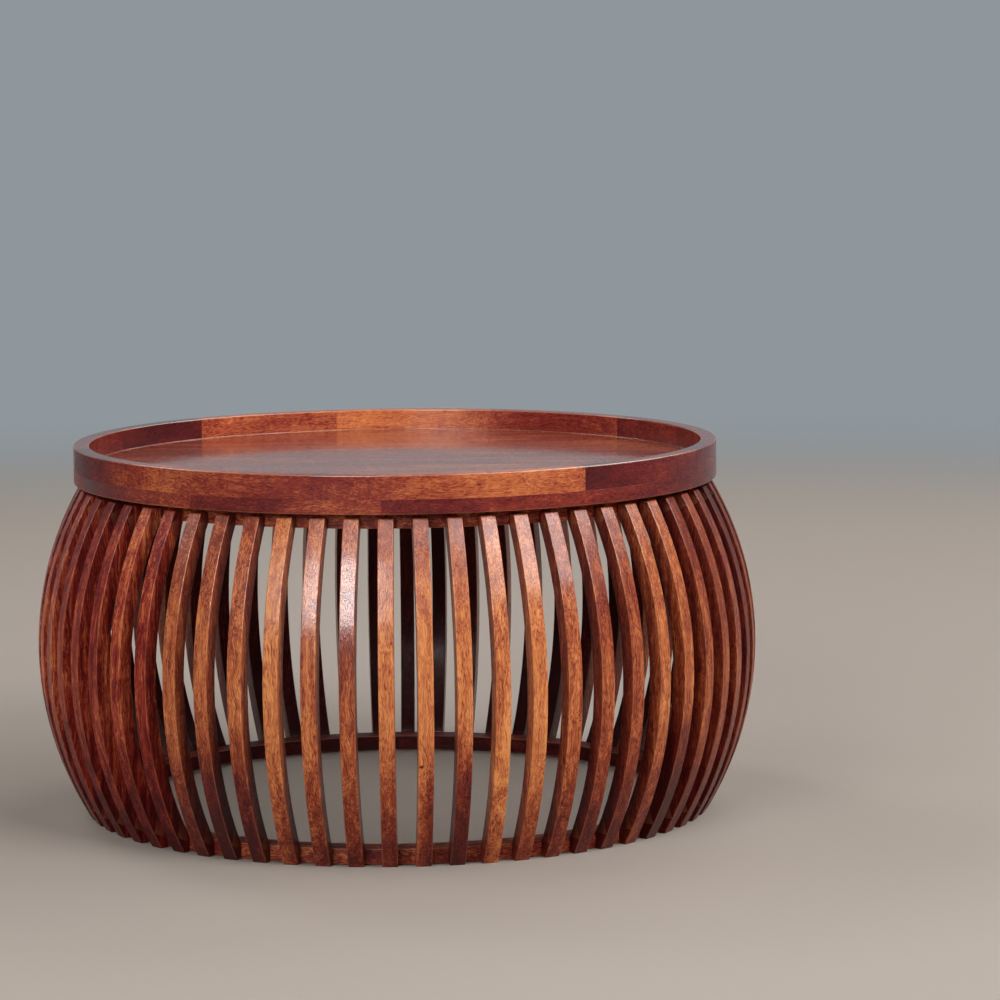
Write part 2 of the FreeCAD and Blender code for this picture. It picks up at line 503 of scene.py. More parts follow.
def copied(piece: Piece, name: str, turn: float) -> Piece:
    """Copy a piece with its own mesh, turned about the drum's axis.

    Args:
        piece: the piece to copy.
        name: the copy's name.
        turn: degrees, counter-clockwise from above.

    Returns:
        The copy.
    """
    twin = piece.copy()
    twin.data = piece.data.copy()
    twin.name = twin.data.name = name
    bpy.context.scene.collection.objects.link(twin)
    twin.data.transform(Matrix.Rotation(math.radians(turn), 4, "Z"))
    return twin


def along_stops(stops: Stops, share: float) -> float:
    """Read a tone between stops that are in order of their share.

    Args:
        stops: shares along the board with their tones.
        share: where to read, from 0 to 1.

    Returns:
        The tone there.
    """
    if share <= stops[0][0]:
        return stops[0][1]
    for (low, first), (high, second) in zip(stops, stops[1:]):
        if share <= high:
            return first + (second - first) * (share - low) / (high - low)
    return stops[-1][1]


class Spot(NamedTuple):
    """Where a point lies in its board: in millimetres with the grain on Z, and its share along.

    The field worn is 1 on an arris, whose pale colour is partly wearing and partly painted
    highlight. Shade is how much darker it is painted there, partly from the stain's slant and
    partly as painted shade, and lacquer is how much of the spray it got.
    """

    place: Place
    share: float
    worn_and_glint: float = 0.0
    shade: float = 0.0
    lacquer: float = 1.0


Where = Callable[[Vector], Spot]


@dataclass
class Board:
    """The wood that a piece is cut from: its tone along it, its knot and its liveliness."""

    tones: Stops
    knot: Place | None = None
    figure: float = 1.0
    seed: int = 0

    def mark(self, piece: Piece, where: Where) -> None:
        """Write on every point where it lies in the board.

        Args:
            piece: the finished mesh.
            where: gives a point's spot in the board.
        """
        chance = random.Random(self.seed * 7919 + 13)
        shift = Vector(chance.uniform(100, 900) for _ in range(3))
        middle = Vector(self.knot) if self.knot else NO_KNOT
        spots = [where(point.co) for point in piece.data.vertices]
        places = [Vector(spot.place) for spot in spots]
        # The stain's tone along the board, less spot.shade, which holds painted shade as well.
        tone = [along_stops(self.tones, spot.share) - spot.shade for spot in spots]
        for name, kind, values, key in (
            ("grain_mm", "FLOAT_VECTOR", [v for p in places for v in p + shift], "vector"),
            ("from_knot_mm", "FLOAT_VECTOR", [v for p in places for v in p - middle], "vector"),
            ("tone", "FLOAT", tone, "value"),
            ("worn_and_glint", "FLOAT", [spot.worn_and_glint for spot in spots], "value"),
            ("lacquer", "FLOAT", [spot.lacquer for spot in spots], "value"),
            ("figure", "FLOAT", [self.figure] * len(spots), "value"),
        ):
            layer = piece.data.attributes.new(name, kind, "POINT")
            layer.data.foreach_set(key, values)


def dress(piece: Piece, material: Material, slot: Slot, *nodes: str) -> Piece:
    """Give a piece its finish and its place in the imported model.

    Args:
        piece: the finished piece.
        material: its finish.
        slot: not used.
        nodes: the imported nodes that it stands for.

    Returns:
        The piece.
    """
    piece.data.materials.clear()
    piece.data.materials.append(material)
    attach(piece, BODY)
    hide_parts(*nodes)
    return piece


@dataclass(frozen=True)
class RingSection:
    """A rectangle that is turned about the drum's axis into curved blocks."""

    inner: float
    outer: float
    underside: float
    top: float
    hairline: float = 0.10 * MM
    degrees_per_facet: float = 1.9
    # How near to a block's corner its points are, as shares of the corner's rounding.
    on_edge: float = 0.8
    on_face: float = 0.3

    @property
    def middle(self) -> Place:
        """The rectangle's middle, on the XZ plane."""
        return (self.inner + self.outer) / 2, 0.0, (self.underside + self.top) / 2

    def block(self, name: str, start: float, sweep: float, rounding: Rounding) -> Piece:
        """Turn one curved block, soften its long edges and break its joint edges.

        Args:
            name: the piece's name.
            start: degrees from +X to its first end.
            sweep: degrees that it covers.
            rounding: the radius to which an edge is rounded, from the edge's own radius
                about the axis and its height.

        Returns:
            The block.
        """
        bpy.ops.mesh.primitive_plane_add(
            size=1.0, location=self.middle, rotation=(math.pi / 2, 0, 0)
        )
        piece = settled(name)
        with edit_mode(piece):
            bpy.ops.mesh.select_all(action="SELECT")
            bpy.ops.transform.resize(
                value=(self.outer - self.inner, 1.0, self.top - self.underside),
                center_override=self.middle,
            )
            bpy.ops.mesh.spin(
                steps=max(4, round(sweep / self.degrees_per_facet)),
                angle=math.radians(sweep),
                center=(0, 0, 0),
                axis=(0, 0, 1),
            )
            close_spin()
            for radius in (self.inner, self.outer):
                for height in (self.underside, self.top):
                    width = rounding(radius, height)
                    if width:
                        pick(
                            piece,
                            lambda co, r=radius, z=height: abs(co.xy.length - r) < TOUCH
                            and abs(co.z - z) < TOUCH,
                            "EDGE",
                        )
                        bpy.ops.mesh.bevel(offset=width, segments=3, affect="EDGES")
            soften(60, self.hairline, 1)
        first = min(math.atan2(point.co.y, point.co.x) for point in piece.data.vertices)
        piece.data.transform(Matrix.Rotation(math.radians(start) - first, 4, "Z"))
        smooth(piece)
        return piece

    def where(
        self, start: float, sweep: float, rounding: Rounding, inner_painted_shade: float, lacquer: float
    ) -> Where:
        """Return what gives a point's spot in a block's board, sawn with straight grain.

        Args:
            start: degrees from +X to its first end.
            sweep: degrees that it covers.
            rounding: the radius to which an edge is rounded.
            inner_painted_shade: how much darker its inner face is painted, as painted shade.
            lacquer: how much of the spray its sides got. The spray came from above.

        Returns:
            A function that gives the spot of a point of the block.
        """
        upright = Matrix.Rotation(-math.radians(start + sweep / 2), 4, "Z")
        middle_height = (self.underside + self.top) / 2

        def spot(co: Vector) -> Spot:
            """Give a point's spot."""
            # Angles wrap 5 degrees before the start, because its points may lie a little off.
            turned = (math.degrees(math.atan2(co.y, co.x)) - start + 5) % 360 - 5
            own = upright @ co
            board = (co.z - middle_height) / MM, (own.x - self.inner) / MM, own.y / MM
            side = min((self.inner, self.outer), key=lambda r: abs(r - co.xy.length))
            face = min((self.underside, self.top), key=lambda z: abs(z - co.z))
            from_edge = abs(side - co.xy.length) + abs(face - co.z)
            # Its rounded edges take the pale arris colour: partly wearing, partly painted
            # highlight.
            worn_and_glint = float(from_edge < self.on_edge * rounding(side, face))
            # The inner face takes painted shade, where a ring has any: the hoops do.
            if co.xy.length < self.inner + self.on_face * rounding(self.inner, face):
                return Spot(board, turned / sweep, worn_and_glint, inner_painted_shade, lacquer)
            if co.z > self.top - self.on_face * rounding(self.outer, face) - TOUCH:
                return Spot(board, turned / sweep, worn_and_glint)
            return Spot(board, turned / sweep, worn_and_glint, 0.0, lacquer)

        return spot


# ---- the table's sub-assemblies


def flat(tone: Tone) -> Stops:
    """Return the stops of a board of one tone."""
    return ((0.0, tone.value),)


def even_joints(count: int) -> tuple[float, ...]:
    """Return the joints of so many blocks that are all alike, as shares of a turn."""
    return tuple(number / count for number in range(count))


def run(*stops: tuple[float, Tone]) -> Stops:
    """Return the stops of a board whose tone changes along it."""
    return tuple((share, tone.value) for share, tone in stops)


@dataclass
class SlatRing:
    """Square staves sawn to one arc, which stand round both hoops and bulge between them.

    The tables give, by the slat's number: the tones above and below the belly, the heads'
    tones where they differ, the slants, which are how much darker the wood gets from one edge
    to the other towards the foot, how much of the spray the outer face got, and the knots'
    places in the board in millimetres.
    """

    tones: dict[int, tuple[Tone, Tone]]
    heads: dict[int, Tone]
    slants: dict[int, float]
    lacquers: dict[int, float]
    knots: dict[int, Place]
    count: int = 62
    first_angle: float = 1.1
    side: float = 16 * MM
    hoop_radius: float = 330.5 * MM
    bulge: float = 59.45 * MM
    top: float = 355.5 * MM
    foot_seat_top: float = 17 * MM
    head_seat_underside: float = 344 * MM
    seat_overlap: float = 0.05 * MM
    arris: float = 1.0 * MM
    arc_steps: int = 28
    overrun: float = 36.0
    # How near to a corner the points of its arris are, as shares of the arris.
    on_edge: float = 0.7
    on_face: float = 0.3
    # The foot is darker: partly the stain, partly painted shade where it turns down.
    foot_stain_and_shade: float = 0.30
    # The head is darker: painted shade under the rim.
    head_painted_shade: float = 0.14
    # How much lighter the belly is: partly rubbing by hands and legs, partly painted light.
    belly_rub_and_light: float = 0.06
    # Painted shade: the sides are darker, more towards the inside, and the inner faces darker
    # still.
    side_painted_shade: tuple[float, float] = (0.10, 0.28)
    inner_painted_shade: float = 0.45
    inner_lacquer: float = 0.1
    streaky: range = range(33, 41)

    @property
    def arc(self) -> tuple[float, float, float]:
        """The inner face's arc: its radius, and its centre's radius and height."""
        half_chord = (self.head_seat_underside - self.foot_seat_top) / 2
        rise = self.bulge - self.side
        radius = (half_chord**2 + rise**2) / (2 * rise)
        centre = self.hoop_radius + self.bulge - self.side - radius
        return radius, centre, (self.head_seat_underside + self.foot_seat_top) / 2

    def pattern(self) -> Piece:
        """Model one slat on +X.

        Returns:
            A curved stave with level ends and an upright seat for either hoop.
        """
        radius, centre_x, centre_z = self.arc
        centre = (centre_x, 0.0, centre_z)
        middle = (centre_x + radius + self.side / 2, 0.0, centre_z)
        bpy.ops.mesh.primitive_plane_add(size=self.side, location=middle)
        slat = settled("slat_pattern")
        overrun = math.radians(self.overrun)
        with edit_mode(slat):
            bpy.ops.mesh.select_all(action="SELECT")
            bpy.ops.transform.rotate(value=-overrun, orient_axis="Y", center_override=centre)
            bpy.ops.mesh.spin(
                steps=self.arc_steps, angle=2 * overrun, center=centre, axis=(0, 1, 0)
            )
            close_spin()
            for level, cut in (
                (0.0, {"clear_inner": True, "use_fill": True}),
                (self.top, {"clear_outer": True, "use_fill": True}),
                (self.foot_seat_top, {}),
                (self.head_seat_underside, {}),
            ):
                bpy.ops.mesh.select_all(action="SELECT")
                bpy.ops.mesh.bisect(plane_co=(0, 0, level), plane_no=(0, 0, 1), **cut)
            seat = self.hoop_radius - self.seat_overlap
            for low, high in (
                (-1.0, self.foot_seat_top + TOUCH),
                (self.head_seat_underside - TOUCH, 1.0),
            ):
                pick(
                    slat,
                    lambda co, a=low, b=high: a < co.z < b and co.x < self.hoop_radius + TOUCH,
                )
                bpy.ops.transform.resize(value=(0, 1, 1), center_override=(seat, 0, 0))
            soften(42, self.arris, 3)
        smooth(slat)
        return slat

    def where(self, turn: float, slant: float, unshaded_sides: bool, lacquer: float) -> Where:
        """Return what gives a point's spot in a stave, whose grain runs straight up.

        Args:
            turn: degrees from +X to the slat.
            slant: how much darker one edge is than the other, towards the foot.
            unshaded_sides: whether its sides are left without painted shade.
            lacquer: how much of the spray its outside got.

        Returns:
            A function that gives the spot of a point of the slat.
        """
        radius, centre_x, centre_z = self.arc
        upright = Matrix.Rotation(-math.radians(turn), 4, "Z")
        half = self.side / 2

        def spot(co: Vector) -> Spot:
            """Give a point's spot, with its share down. The spray hardly reached inside."""
            own = upright @ co
            out = math.hypot(own.x - centre_x, own.z - centre_z) - radius - half
            # Its arrises take the pale arris colour: partly wearing, partly painted highlight.
            worn_and_glint = float(2 * half - abs(own.y) - abs(out) < self.on_edge * self.arris)
            board = own.y / MM, (own.x - self.hoop_radius) / MM, (own.z - centre_z) / MM
            share = 1 - own.z / self.top
            shade = max(0.0, share - 0.5) * 2 * slant * own.y / half
            # Painted shade on the sides, in the gaps between the slats, deeper towards the inside.
            if not unshaded_sides and abs(own.y) > half - self.on_face * self.arris:
                shade += self.side_painted_shade[out < 0]
            # Painted shade on the inner face, which also got little lacquer.
            if out < self.on_face * self.arris - half:
                return Spot(board, share, worn_and_glint, shade + self.inner_painted_shade, self.inner_lacquer)
            return Spot(board, share, worn_and_glint, shade, lacquer)

        return spot

    def board(self, number: int) -> Board:
        """Choose the stave that a slat is made of.

        Args:
            number: the slat's number.

        Returns:
            Its board.
        """
        chance = random.Random(number * 31 + 5)
        usual = (RED_BROWN, BROWN, ORANGE_BROWN, ORANGE_BROWN)
        upper, lower = self.tones.get(number, (chance.choice(usual), chance.choice(usual)))
        # The head takes painted shade, the belly partly painted light, the foot partly painted
        # shade.
        head = self.heads.get(number, upper).value - self.head_painted_shade
        belly = upper.value + self.belly_rub_and_light
        foot = lower.value - self.foot_stain_and_shade
        stops = (0.05, head), (0.25, upper.value), (0.55, belly), (0.72, lower.value), (0.93, foot)
        figure = 1.7 if number in self.streaky else chance.uniform(0.8, 1.2)
        return Board(stops, self.knots.get(number), figure, number)

    def build(self, finish: StainedMango, redder: StainedMango) -> list[Piece]:
        """Make and dress every slat.

        Args:
            finish: the slats' wood.
            redder: the wood of the streaky slats.

        Returns:
            The slats in order round the drum.
        """
        usual, red = finish.material(), redder.material()
        pattern = self.pattern()
        slats = []
        for number in range(1, self.count + 1):
            turn = self.first_angle + (number - 1) * 360 / self.count
            slat = copied(pattern, f"slat_{number:02d}", turn)
            slant, lacquer = self.slants.get(number, 0.0), self.lacquers.get(number, 1.0)
            streaky = number in self.streaky
            self.board(number).mark(slat, self.where(turn, slant, streaky, lacquer))
            pair = (number - 1) % (self.count // 2) + 1
            wood = red if streaky else usual
            slats.append(dress(slat, wood, Slot.SLAT, f"slat_pair_{pair:02d}"))
        bpy.data.objects.remove(pattern)
        return slats


@dataclass
class BlockRing:
    """Curved blocks that butt end to end: a hoop, or one course of the tray's rim.

    Name and node have a place for the block's number. Joints are shares of a turn.
    """

    name: str
    node: str
    slot: Slot
    section: RingSection
    joints: tuple[float, ...]
    tones: tuple[Stops, ...]
    rounding: Rounding
    seed: int
    # Painted shade on the inner face; the hoops have some.
    inner_painted_shade: float = 0.0
    lacquer: float = 1.0
    thinly_sprayed: int = 0
    thin_lacquer: float = 0.12

    def build(self, finish: StainedMango) -> list[Piece]:
        """Make and dress the blocks.

        Args:
            finish: the ring's wood.

        Returns:
            The blocks in order round the ring.
        """
        material = finish.material()
        ends = self.joints[1:] + (self.joints[0] + 1,)
        blocks = []
        for number, (share, next_share) in enumerate(zip(self.joints, ends), start=1):
            start, sweep = share * 360, (next_share - share) * 360
            name = self.name.format(number)
            block = self.section.block(name, start, sweep, self.rounding)
            lacquer = self.thin_lacquer if number == self.thinly_sprayed else self.lacquer
            where = self.section.where(start, sweep, self.rounding, self.inner_painted_shade, lacquer)
            Board(self.tones[number - 1], seed=self.seed + number).mark(block, where)
            blocks.append(dress(block, material, self.slot, self.node.format(number)))
        return blocks


@dataclass
class TrayPanel:
    """The tray's flat round board, edge-glued from planks and set inside the rim."""

    radius: float = 331 * MM
    underside: float = 360 * MM
    top: float = 377 * MM
    edge: float = 0.3 * MM
    planks: int = 7
    facets: int = 190
    tone_spread: float = 0.06
    figure: float = 0.8

    def plank(self, number: int) -> Piece:
        """Saw one plank out of the round board.

        Args:
            number: which plank it is, from the front.

        Returns:
            The plank, with round ends that fit the rim.
        """
        bpy.ops.mesh.primitive_cylinder_add(
            vertices=self.facets,
            radius=self.radius,
            depth=self.top - self.underside,
            location=(0, 0, (self.top + self.underside) / 2),
        )
        piece = settled(f"tray_plank_{number}")
        width = 2 * self.radius / self.planks
        front = -self.radius + (number - 1) * width
        with edit_mode(piece):
            for level, cut in ((front, "clear_inner"), (front + width, "clear_outer")):
                bpy.ops.mesh.select_all(action="SELECT")
                bpy.ops.mesh.bisect(
                    plane_co=(0, level, 0), plane_no=(0, 1, 0), use_fill=True, **{cut: True}
                )
            soften(60, self.edge, 2)
        smooth(piece)
        return piece

    def build(self, finish: StainedMango) -> list[Piece]:
        """Make and dress the panel.

        Args:
            finish: the panel's wood.

        Returns:
            Its planks, from the front to the back.
        """
        material = finish.material()
        chance = random.Random(11)
        planks = []
        for number in range(1, self.planks + 1):
            plank = self.plank(number)
            tone = BROWN.value + chance.uniform(-self.tone_spread, self.tone_spread)
            Board(((0.0, tone),), None, self.figure, 600 + number).mark(plank, self.where)
            planks.append(dress(plank, material, Slot.PANEL, "tray_panel"))
        return planks

    def where(self, co: Vector) -> Spot:
        """Give a point's spot in the panel, whose grain runs along X."""
        return Spot((co.y / MM, co.z / MM, co.x / MM), 0.0)


@dataclass
class TrayScrews:
    """Countersunk screws that go up through the upper hoop and hold the tray."""

    count: int = 8
    ring: float = 317 * MM
    underside: float = 344 * MM
    head: float = 3.6 * MM
    thickness: float = 1.2 * MM
    proud: float = 0.35 * MM
    edge: float = 0.15 * MM
    slot_width: float = 0.9 * MM
    slot_length: float = 4.0 * MM

    def pattern(self) -> Piece:
        """Model one screw head on +X, with its cross recess.

        Returns:
            The head, which tapers up into the hoop.
        """
        low = self.underside - self.proud
        bpy.ops.mesh.primitive_cone_add(
            vertices=24,
            radius1=self.head,
            radius2=self.head - self.thickness,
            depth=self.thickness,
            location=(self.ring, 0.0, low + self.thickness / 2),
        )
        screw = settled("screw_pattern")
        with edit_mode(screw):
            soften(40, self.edge, 2)
        for turn in (0.0, math.pi / 2):
            bpy.ops.mesh.primitive_cube_add(
                size=1.0, location=(self.ring, 0.0, low), rotation=(0, 0, turn)
            )
            cutter = bpy.context.object
            cutter.scale = (self.slot_width, self.slot_length, self.thickness)
            cut = screw.modifiers.new("recess", "BOOLEAN")
            cut.object = cutter
            cut.solver = "EXACT"
            alone(screw)
            bpy.ops.object.modifier_apply(modifier=cut.name)
            bpy.data.objects.remove(cutter)
        smooth(screw)
        return screw

    def build(self, finish: ZincSteel) -> list[Piece]:
        """Make and dress the screw heads.

        Args:
            finish: the screws' steel.

        Returns:
            The heads in order round the hoop.
        """
        material = finish.material()
        pattern = self.pattern()
        screws = []
        for number in range(1, self.count + 1):
            turn = (number - 0.5) * 360 / self.count
            screw = copied(pattern, f"tray_screw_{number}", turn)
            screw.data.materials.append(material)
            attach(screw, BODY)
            screws.append(screw)
        bpy.data.objects.remove(pattern)
        return screws


# ---- the studio


@dataclass(frozen=True)
class StudioPaper:
    """Matt pale studio paper that lies flat and fades into the backdrop far off."""

    floor: str = "#ABA198"
    backdrop: str = "#8F979C"
    fill_colour: str = "#FFFFFF"
    fill: float = 0.05
    fade_from: float = 2.2
    fade_to: float = 4.6

    def floor_material(self) -> Material:
        """Build the floor, which takes the backdrop's colour away from the table.

        Returns:
            The floor's material.
        """
        made, tree = start_nodes(bpy.data.materials, "studio_paper")
        place = add_node(tree, "TexCoord").outputs["Object"]
        far = add_node(tree, "VectorMath", {0: place}, operation="LENGTH").outputs["Value"]
        inputs = {"Value": far, "From Min": self.fade_from, "From Max": self.fade_to}
        faded = add_node(tree, "MapRange", inputs, interpolation_type="SMOOTHERSTEP")
        paper = add_node(tree, "BsdfDiffuse", {"Color": to_linear(self.floor)})
        glow = add_node(tree, "Emission", {"Color": to_linear(self.backdrop), "Strength": 1.0})
        sources = faded.outputs["Result"], paper.outputs["BSDF"], glow.outputs["Emission"]
        mixed = add_node(tree, "MixShader", dict(enumerate(sources)))
        add_node(tree, "OutputMaterial", {"Surface": mixed.outputs[0]})
        return made

    def world(self) -> bpy.types.World:
        """Build the backdrop for what looks at it, and a weaker fill light for the rest.

        Returns:
            The world.
        """
        made, tree = start_nodes(bpy.data.worlds, "studio")
        ray = add_node(tree, "LightPath").outputs
        looks = ray["Is Camera Ray"]
        for name in ("Is Glossy Ray", "Is Transmission Ray"):
            looks = calculate(tree, "MAXIMUM", looks, ray[name])
        fill, backdrop = (
            add_node(tree, "Background", {"Color": to_linear(colour), "Strength": strength})
            for colour, strength in ((self.fill_colour, self.fill), (self.backdrop, 1.0))
        )
        inputs = {0: looks, 1: fill.outputs[0], 2: backdrop.outputs[0]}
        mixed = add_node(tree, "MixShader", inputs)
        add_node(tree, "OutputWorld", {"Surface": mixed.outputs[0]})
        return made


@dataclass(frozen=True)
class SoftBox:
    """A rectangular lamp that faces the table from an azimuth and an elevation."""

    name: str
    azimuth: float
    elevation: float
    distance: float
    width: float
    height: float
    radiance: float
    sheen_only: bool = False

    def build(self, aim: Vector) -> None:
        """Hang the lamp.

        Args:
            aim: the point that it faces.
        """
        light = bpy.data.lights.new(self.name, "AREA")
        light.shape = "RECTANGLE"
        light.size, light.size_y = self.width, self.height
        light.energy = self.radiance * math.pi * self.width * self.height
        lamp = bpy.data.objects.new(self.name, light)
        bpy.context.scene.collection.objects.link(lamp)
        around, above = math.radians(self.azimuth), math.radians(self.elevation)
        level = math.cos(above)
        away = Vector((math.sin(around) * level, -math.cos(around) * level, math.sin(above)))
        lamp.location = aim + away * self.distance
        lamp.rotation_euler = away.to_track_quat("Z", "Y").to_euler()
        lamp.visible_diffuse = not self.sheen_only


@dataclass
class Studio:
    """Floor, backdrop, lamps and camera."""

    aim: Place = (0.0, 0.0, 0.25)
    floor_size: float = 30.0
    camera_place: Place = (0.0, -4.138, 0.8317)
    yaw: float = 1.566
    pitch: float = 6.888
    roll: float = -0.538
    lens: float = 137.81
    lamps: tuple[SoftBox, ...] = (
        SoftBox("left_softbox", -25.0, 25.0, 4.5, 2.2, 2.0, 5.8),
        SoftBox("far_left_softbox", -95.0, 38.0, 4.2, 2.4, 2.4, 2.0),
        SoftBox("right_softbox", 45.0, 36.0, 4.3, 2.6, 2.2, 6.8),
        SoftBox("far_right_softbox", 95.0, 40.0, 4.5, 2.6, 2.6, 2.6),
        SoftBox("left_sheen_panel", -17.0, 25.0, 4.4, 1.5, 1.7, 26.0, sheen_only=True),
        SoftBox("right_sheen_panel", 49.0, 35.0, 4.2, 1.7, 1.8, 6.0, sheen_only=True),
        SoftBox("high_sheen_panel", 8.0, 52.0, 4.5, 4.6, 1.8, 4.5, sheen_only=True),
        SoftBox("right_high_sheen_panel", 100.0, 48.0, 4.4, 4.6, 2.2, 6.0, sheen_only=True),
        SoftBox("back_left_softbox", -140.0, 45.0, 4.6, 1.2, 1.2, 8.0),
        SoftBox("back_right_softbox", 150.0, 42.0, 4.8, 2.8, 2.2, 3.2),
    )

    def build(self, paper: StudioPaper) -> None:
        """Lay the floor, set the world, hang the lamps and place the camera.

        Args:
            paper: the floor's and backdrop's finish.
        """
        bpy.ops.mesh.primitive_plane_add(size=self.floor_size, location=(0, 0, 0))
        floor = settled("floor")
        with edit_mode(floor):
            bpy.ops.mesh.select_all(action="SELECT")
            bpy.ops.mesh.subdivide(number_cuts=9)
        floor.data.materials.append(paper.floor_material())
        bpy.context.scene.world = paper.world()
        for lamp in self.lamps:
            lamp.build(Vector(self.aim))
        bpy.context.scene.view_settings.view_transform = "Standard"
        self.place_camera()

    def place_camera(self) -> None:
        """Set up the camera at the photograph's viewing angle."""
        yaw, pitch, roll = (math.radians(v) for v in (self.yaw, self.pitch, self.roll))
        level = math.cos(pitch)
        forward = Vector((math.sin(yaw) * level, math.cos(yaw) * level, -math.sin(pitch)))
        right = Vector((math.cos(yaw), -math.sin(yaw), 0.0))
        up = right.cross(forward)
        across = math.cos(roll) * right + math.sin(roll) * up
        upward = -math.sin(roll) * right + math.cos(roll) * up
        lens = bpy.data.cameras.new("photo_camera")
        lens.sensor_width = 36.0
        lens.lens = self.lens
        lens.clip_end = 60.0
        camera = bpy.data.objects.new("photo_camera", lens)
        bpy.context.scene.collection.objects.link(camera)
        turned = Matrix((across, upward, -forward)).transposed().to_4x4()
        camera.matrix_world = Matrix.Translation(self.camera_place) @ turned
        bpy.context.scene.camera = camera


# ---- the table


# The front slats' tones from the left. Boards round the back vary as these do.
FRONT_TONES = (
    (DARK_RED, MAROON), (BROWN, RED_BROWN), (ORANGE_BROWN, DARK_RED), (ORANGE_BROWN, RED_BROWN),
    (BROWN, RED_BROWN), (BROWN, RED_BROWN), (BROWN, BROWN), (ORANGE_BROWN, RED_BROWN),
    (BROWN, RED_BROWN), (ORANGE_BROWN, BROWN), (ORANGE_BROWN, DARK_RED), (ORANGE_BROWN, RED_BROWN),
    (ORANGE, ORANGE), (ORANGE_BROWN, ORANGE_BROWN), (BROWN, ORANGE_BROWN), (ORANGE, ORANGE_BROWN),
    (ORANGE, ORANGE_BROWN), (ORANGE, RED_BROWN), (ORANGE, PALE_ORANGE), (ORANGE, ORANGE),
    (ORANGE_BROWN, ORANGE_BROWN), (BROWN, BROWN), (BROWN, BROWN), (ORANGE_BROWN, ORANGE_BROWN),
    (ORANGE_BROWN, DARK_RED), (BROWN, BROWN), (BROWN, BROWN), (BROWN, RED_BROWN),
    (DARK_RED, RED_BROWN), (RED_BROWN, RED_BROWN), (RED_BROWN, RED_BROWN),
)
SLAT_TONES = dict(enumerate(FRONT_TONES, start=32))
SLAT_HEADS = {
    **dict.fromkeys((40, 47, 48, 49, 53, 54, 58), ORANGE_BROWN),
    **dict.fromkeys((45, 46, 55, 56), ORANGE),
    **dict.fromkeys((39, 44), PALE_ORANGE),
}
SLAT_SLANTS = {48: 0.30, 43: -0.12, 44: 0.12, 50: -0.15, 47: 0.10}
SLAT_LACQUERS = {
    **dict.fromkeys(range(32, 36), 0.4),
    **dict.fromkeys(range(36, 41), 0.15),
    **dict.fromkeys((57, 58, 59), 0.6),
    **dict.fromkeys((60, 61, 62), 0.2),
}
SLAT_KNOTS = {48: (-4.6, 52.8, -70.0)}

UPPER_JOINTS = (0.022, 0.111, 0.197, 0.283, 0.367, 0.436, 0.528, 0.628, 0.731, 0.843, 0.933)
LOWER_JOINTS = (0.014, 0.104, 0.190, 0.279, 0.368, 0.459, 0.551, 0.647, 0.743, 0.836, 0.926)

UPPER_TONES = (
    run((0.0, DARK_RED), (0.5, RED_BROWN), (1.0, DARK_RED)),
    run((0.0, BROWN), (0.6, RED_BROWN), (1.0, BROWN)),
    run((0.0, ORANGE_BROWN), (1.0, ORANGE)),
    flat(ORANGE_BROWN),
    flat(MAROON),
    run((0.0, DARK_RED), (1.0, RED_BROWN)),
    run((0.3, MAROON), (0.5, DARK_RED), (0.65, BROWN), (0.95, ORANGE_BROWN)),
    run((0.0, ORANGE_BROWN), (0.3, BROWN), (0.85, RED_BROWN), (0.9, BROWN)),
    run((0.0, BROWN), (0.25, ORANGE_BROWN), (0.65, ORANGE), (1.0, ORANGE_BROWN)),
    run((0.0, MAROON), (0.6, RED_BROWN), (1.0, DARK_RED)),
    run((0.0, DARK_RED), (1.0, RED_BROWN)),
)
LOWER_TONES = (
    *(flat(tone) for tone in (RED_BROWN, DARK_RED, BROWN, RED_BROWN, DARK_RED, RED_BROWN)),
    run((0.2, MAROON), (0.6, RED_BROWN), (1.0, BROWN)),
    run((0.0, RED_BROWN), (0.35, DARK_RED), (0.7, BROWN), (1.0, BROWN)),
    run((0.0, DARK_RED), (0.6, RED_BROWN), (1.0, RED_BROWN)),
    run((0.0, RED_BROWN), (1.0, DARK_RED)),
    flat(DARK_RED),
)
# Front blocks 6 and 7 lighter, side blocks 5 and 8 darker: painted light and painted shade.
UPPER_HOOP_TONES_AND_LIGHT = (RED_BROWN, DARK_RED, RED_BROWN, DARK_RED, DARK_RED, BROWN, BROWN, DARK_RED)
BOTTOM_HOOP_TONES_AND_LIGHT = (DARK_RED, RED_BROWN, DARK_RED, RED_BROWN, DARK_RED, BROWN, BROWN, DARK_RED)
# Its left-back quarter is lighter and the rest maroon: painted highlight along the glue line.
BEAD_TONES_AND_HIGHLIGHT = (MAROON, BROWN, MAROON, MAROON)

# The levels and radii at which the rim, the tray and the hoops meet.
RIM_TOP, RIM_SEAM, RIM_UNDERSIDE = 400 * MM, 375 * MM, 360 * MM
RIM_INNER, RIM_OUTER = 331 * MM, 348 * MM
HOOP_INNER, HOOP_OUTER, HOOP_HEIGHT = 303.5 * MM, 330.5 * MM, 16 * MM
FLOOR_GAP = 1 * MM


def upper_rounding(radius: float, height: float) -> float:
    """Round the rim's top edges and leave the edges at the joint with the lower course."""
    return 1.6 * MM if height == RIM_TOP else 0.0


def lower_rounding(radius: float, height: float) -> float:
    """Round only the outer bottom edge, above the slats."""
    return 1.2 * MM if height == RIM_UNDERSIDE and radius == RIM_OUTER else 0.0


def even_rounding(width: float) -> Rounding:
    """Return what rounds every long edge alike."""
    return lambda radius, height: width


